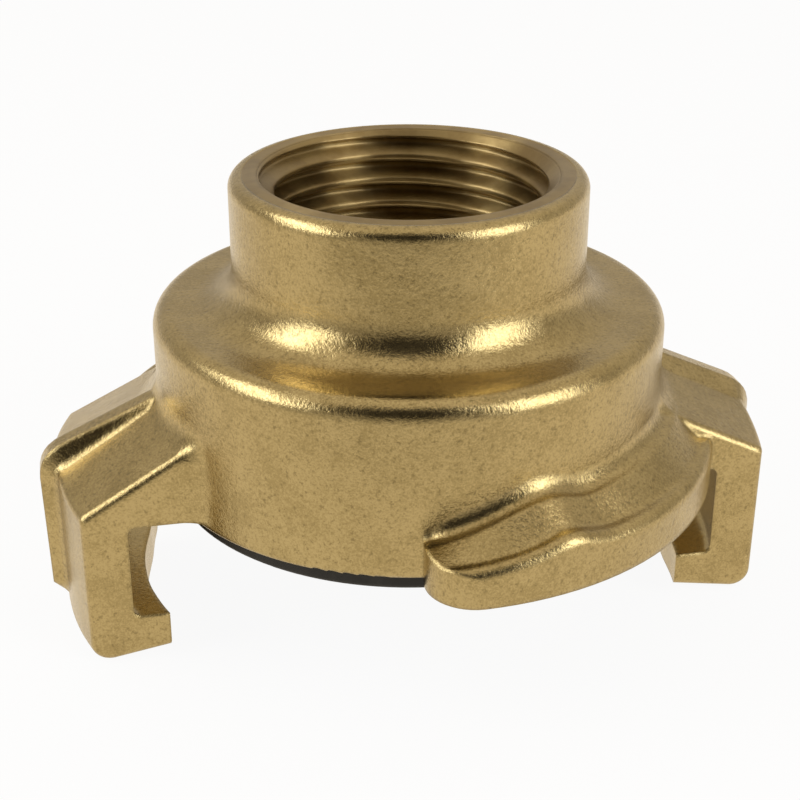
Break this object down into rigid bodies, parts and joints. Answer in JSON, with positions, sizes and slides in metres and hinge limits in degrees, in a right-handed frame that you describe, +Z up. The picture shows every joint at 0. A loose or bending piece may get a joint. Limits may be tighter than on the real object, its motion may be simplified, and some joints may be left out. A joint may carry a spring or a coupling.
{
  "type": "threaded claw coupling",
  "caption": "Brass quick-connect hose coupling with an internal pipe thread, bayonet claws and locking ramps around a rubber face seal.",
  "frame": {"origin": "on the thread axis, level with the lowest points of the claws", "axes": "+Z up the thread axis, out of the threaded mouth; +X along one claw, -X along the other; +Y makes the frame right-handed"},
  "size_m": [0.0538, 0.0446, 0.032],
  "materials": {
    "brass": "satin, blasted forging",
    "seal_rubber": "matte"
  },
  "bodies": {
    "root": {"coupling_body": "brass", "seal_ring": "seal_rubber"}
  },
  "joints": []
}
